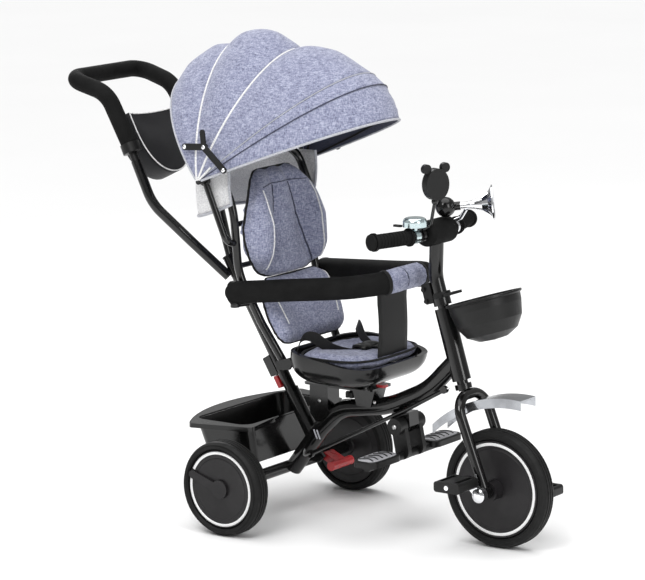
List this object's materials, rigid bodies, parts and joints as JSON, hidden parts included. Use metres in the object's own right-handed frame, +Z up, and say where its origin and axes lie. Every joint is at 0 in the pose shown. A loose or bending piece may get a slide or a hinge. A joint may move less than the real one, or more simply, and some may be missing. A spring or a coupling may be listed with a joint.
{
  "type": "children's tricycle",
  "caption": "Children's tricycle with a parent's push handle, swivel seat, guard bar, footrest, rear storage tub, front basket and folding canopy.",
  "frame": {"origin": "on the ground, under the centre of the whole object's bounding box", "axes": "+X forward, towards the front wheel; +Y to the rider's left; +Z up"},
  "size_m": [1.178, 0.506, 1.0492],
  "materials": {
    "black_paint": "gloss",
    "black_plastic": "matte",
    "gloss_black": "gloss",
    "foam": "matte",
    "tyre": "matte",
    "chrome": "polished",
    "cloth": "woven",
    "pouch_cloth": "woven",
    "webbing": "woven",
    "red_plastic": "gloss",
    "fender_plastic": "satin",
    "wheel_cover": "satin"
  },
  "bodies": {
    "frame": {"main_beam": "black_paint", "head_tube": "black_paint", "rear_axle_tube": "black_paint", "rear_axle_rod": "chrome", "post_socket": "black_paint", "seat_base": "black_paint", "frame_brackets": "black_paint", "storage_tub": "gloss_black"},
    "front_assembly": {"fork": "black_paint", "stem": "black_paint", "stem_clamp": "black_plastic", "handlebar": "black_paint", "handlebar_grips": "foam", "handlebar_pad": "foam", "bell": "chrome", "horn": "chrome", "horn_bulb": "foam", "mirror_stalk": "black_paint", "front_basket": "black_plastic", "basket_hook": "black_plastic", "fender": "fender_plastic"},
    "front_wheel": {"front_tyre": "tyre", "front_wheel_disc": "wheel_cover"},
    "cranks": {"crank_axle": "chrome"},
    "pedal_r": {"pedal_right": "black_plastic"},
    "pedal_l": {"pedal_left": "black_plastic"},
    "rear_wheel_right": {"rear_tyre_right": "tyre", "rear_wheel_disc_right": "wheel_cover"},
    "rear_wheel_left": {"rear_tyre_left": "tyre", "rear_wheel_disc_left": "wheel_cover"},
    "brake": {"brake_pedal": "red_plastic"},
    "foot_rest": {"footrest": "black_plastic"},
    "seat": {"seat_pan": "gloss_black", "seat_cushion": "cloth", "seat_belt": "webbing", "crotch_strap": "webbing"},
    "swivel_catch": {"swivel_lever": "red_plastic"},
    "seat_clamp_knob": {"seat_knob": "black_plastic"},
    "backrest": {"backrest_frame": "black_paint", "back_cushion_low": "cloth", "back_cushion_top": "cloth", "canopy_bow_rear": "black_plastic", "canopy_cloth_rear": "cloth"},
    "guard_right": {"guard_bar_right": "foam"},
    "guard_left": {"guard_bar_left": "foam"},
    "canopy_2": {"canopy_bow_2": "black_plastic", "canopy_cloth_middle": "cloth"},
    "canopy_3": {"canopy_bow_3": "black_plastic", "canopy_cloth_front": "cloth"},
    "canopy_front": {"canopy_bow_front": "black_plastic"},
    "stay_rear": {"stay_link_rear": "black_plastic"},
    "stay_front": {"stay_link_front": "black_plastic"},
    "push_handle": {"push_post": "black_paint"},
    "handle": {"handle_legs": "black_paint", "handle_foam": "foam", "handle_pouch": "pouch_cloth"},
    "release": {"release_lever": "red_plastic"},
    "rod": {"steering_rod": "black_paint"},
    "bell_thumb": {"bell_lever": "black_plastic"},
    "mirror": {"mirror_head": "black_plastic"}
  },
  "joints": [
    {"name": "steering", "type": "hinge", "parent": "frame", "child": "front_assembly", "pos_m": [0.374, 0, 0.343], "axis": [-0.279, 0, 0.9603], "range_deg": [-20, 20]},
    {"name": "front_wheel_spin", "type": "hinge", "parent": "front_assembly", "child": "front_wheel", "pos_m": [0.464, 0, 0.125], "axis": [0, 1, 0], "continuous": true},
    {"name": "crank_spin", "type": "hinge", "parent": "front_assembly", "child": "cranks", "pos_m": [0.464, 0, 0.125], "axis": [0, 1, 0], "continuous": true},
    {"name": "pedal_right_spin", "type": "hinge", "parent": "cranks", "child": "pedal_r", "pos_m": [0.43401, -0.116, 0.15296], "axis": [0, 1, 0], "continuous": true},
    {"name": "pedal_left_spin", "type": "hinge", "parent": "cranks", "child": "pedal_l", "pos_m": [0.49399, 0.116, 0.09704], "axis": [0, 1, 0], "continuous": true},
    {"name": "rear_wheel_right_spin", "type": "hinge", "parent": "frame", "child": "rear_wheel_right", "pos_m": [-0.078, -0.228, 0.102], "axis": [0, 1, 0], "continuous": true},
    {"name": "rear_wheel_left_spin", "type": "hinge", "parent": "frame", "child": "rear_wheel_left", "pos_m": [-0.078, 0.228, 0.102], "axis": [0, 1, 0], "continuous": true},
    {"name": "brake_press", "type": "hinge", "parent": "frame", "child": "brake", "pos_m": [-0.046, 0.09, 0.111], "axis": [0, 1, 0], "range_deg": [0, 18]},
    {"name": "footrest_fold", "type": "hinge", "parent": "frame", "child": "foot_rest", "pos_m": [0.232, 0, 0.234], "axis": [0, 1, 0], "range_deg": [0, 60]},
    {"name": "seat_swivel", "type": "hinge", "parent": "frame", "child": "seat", "pos_m": [0.078, 0, 0.3], "axis": [0, 0, 1], "range_deg": [-90, 90]},
    {"name": "swivel_release", "type": "slide", "parent": "frame", "child": "swivel_catch", "axis": [1, 0, 0], "range_m": [0, 0.008], "stiffness_N_per_m": 120, "springref_m": -0.002},
    {"name": "seat_knob_turn", "type": "hinge", "parent": "frame", "child": "seat_clamp_knob", "pos_m": [0.092, 0, 0.28], "axis": [0, 0, 1], "continuous": true},
    {"name": "recline", "type": "hinge", "parent": "seat", "child": "backrest", "pos_m": [-0.01, 0, 0.352], "axis": [0, 1, 0], "range_deg": [-8, 8]},
    {"name": "guard_right_open", "type": "hinge", "parent": "backrest", "child": "guard_right", "pos_m": [-0.092, -0.162, 0.51], "axis": [0, 0, 1], "range_deg": [-90, 0]},
    {"name": "guard_left_open", "type": "hinge", "parent": "backrest", "child": "guard_left", "pos_m": [-0.092, 0.162, 0.51], "axis": [0, 0, 1], "range_deg": [0, 90]},
    {"name": "canopy_fold", "type": "hinge", "parent": "backrest", "child": "canopy_2", "pos_m": [-0.161, 0, 0.744], "axis": [0, -1, 0], "range_deg": [0, 15.5], "deforming": ["canopy_cloth_rear"]},
    {"name": "canopy_fold_2", "type": "hinge", "parent": "canopy_2", "child": "canopy_3", "pos_m": [-0.161, 0, 0.744], "axis": [0, -1, 0], "range_deg": [0, 30], "deforming": ["canopy_cloth_middle"]},
    {"name": "canopy_fold_3", "type": "hinge", "parent": "canopy_3", "child": "canopy_front", "pos_m": [-0.161, 0, 0.744], "axis": [0, -1, 0], "range_deg": [0, 28.5], "deforming": ["canopy_cloth_front"]},
    {"name": "stay_rear_turn", "type": "hinge", "parent": "backrest", "child": "stay_rear", "pos_m": [-0.187, 0, 0.818], "axis": [0, -1, 0], "range_deg": [0, 160]},
    {"name": "stay_front_turn", "type": "hinge", "parent": "stay_rear", "child": "stay_front", "pos_m": [-0.133, 0, 0.821], "axis": [0, -1, 0], "range_deg": [-123, 0]},
    {"name": "handle_turn", "type": "hinge", "parent": "frame", "child": "push_handle", "pos_m": [-0.028, 0, 0.2], "axis": [-0.5112, 0, 0.8594], "range_deg": [-20, 20]},
    {"name": "handle_extend", "type": "slide", "parent": "push_handle", "child": "handle", "axis": [-0.4226, 0, 0.9063], "range_m": [-0.018, 0.03]},
    {"name": "handle_release", "type": "hinge", "parent": "push_handle", "child": "release", "pos_m": [-0.10874, 0, 0.29858], "axis": [0, 1, 0], "range_deg": [0, 12], "stiffness_Nm_per_rad": 0.4, "springref_deg": -2.86},
    {"name": "rod_slide", "type": "slide", "parent": "frame", "child": "rod", "axis": [0.8937, 0, 0.4486], "range_m": [-0.012, 0.012]},
    {"name": "bell_ring", "type": "hinge", "parent": "front_assembly", "child": "bell_thumb", "pos_m": [0.312, -0.073, 0.67], "axis": [0, 0, 1], "range_deg": [0, 20], "stiffness_Nm_per_rad": 0.05, "springref_deg": -2.86},
    {"name": "mirror_tilt", "type": "hinge", "parent": "front_assembly", "child": "mirror", "pos_m": [0.352, -0.058, 0.724], "axis": [0.3499, 0.9368, 0], "range_deg": [-15, 15]}
  ],
  "couplings": [
    {"joint": "canopy_fold_2", "follows": "canopy_fold", "ratio": 1.875},
    {"joint": "canopy_fold_3", "follows": "canopy_fold", "ratio": 1.7812},
    {"joint": "stay_rear_turn", "follows": "canopy_fold", "ratio": 9.9},
    {"joint": "stay_front_turn", "follows": "canopy_fold", "ratio": -7.65},
    {"joint": "handle_turn", "follows": "steering", "ratio": 1},
    {"joint": "rod_slide", "follows": "steering", "m_per_rad": 0.03}
  ]
}
